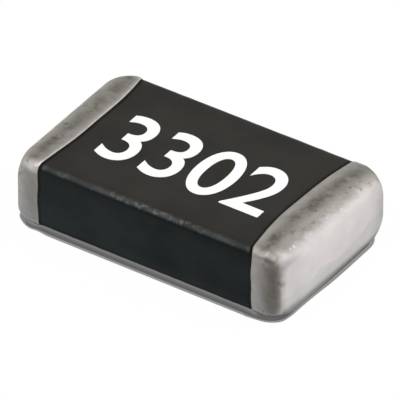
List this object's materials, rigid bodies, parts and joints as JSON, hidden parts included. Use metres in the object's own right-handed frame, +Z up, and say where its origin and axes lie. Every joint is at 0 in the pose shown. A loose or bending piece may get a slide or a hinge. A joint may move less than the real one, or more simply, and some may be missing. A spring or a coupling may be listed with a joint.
{
  "type": "surface-mount multilayer ceramic chip capacitor",
  "caption": "Small rectangular ceramic chip capacitor with a black body, stacked inner electrode films and wrap-around plated metal ends for soldering flat to a board.",
  "frame": {"origin": "middle of the underside, in the plane of the two solder lands", "axes": "+X runs along the chip to its right-hand termination, +Y across its width, +Z up from the board; the marked face is the top"},
  "size_m": [0.002, 0.0012, 0.0005],
  "materials": {
    "black_ceramic": "satin",
    "electrode_nickel": "satin",
    "fired_copper": "matte",
    "nickel_plate": "satin",
    "matte_tin": "satin"
  },
  "bodies": {
    "root": {"ceramic_body": "black_ceramic", "electrode_01": "electrode_nickel", "electrode_02": "electrode_nickel", "electrode_03": "electrode_nickel", "electrode_04": "electrode_nickel", "electrode_05": "electrode_nickel", "electrode_06": "electrode_nickel", "electrode_07": "electrode_nickel", "electrode_08": "electrode_nickel", "electrode_09": "electrode_nickel", "electrode_10": "electrode_nickel", "electrode_11": "electrode_nickel", "electrode_12": "electrode_nickel", "electrode_13": "electrode_nickel", "electrode_14": "electrode_nickel", "electrode_15": "electrode_nickel", "electrode_16": "electrode_nickel", "electrode_17": "electrode_nickel", "electrode_18": "electrode_nickel", "electrode_19": "electrode_nickel", "electrode_20": "electrode_nickel", "left_copper_base": "fired_copper", "left_nickel_barrier": "nickel_plate", "left_tin_plating": "matte_tin", "right_copper_base": "fired_copper", "right_nickel_barrier": "nickel_plate", "right_tin_plating": "matte_tin"}
  },
  "joints": []
}
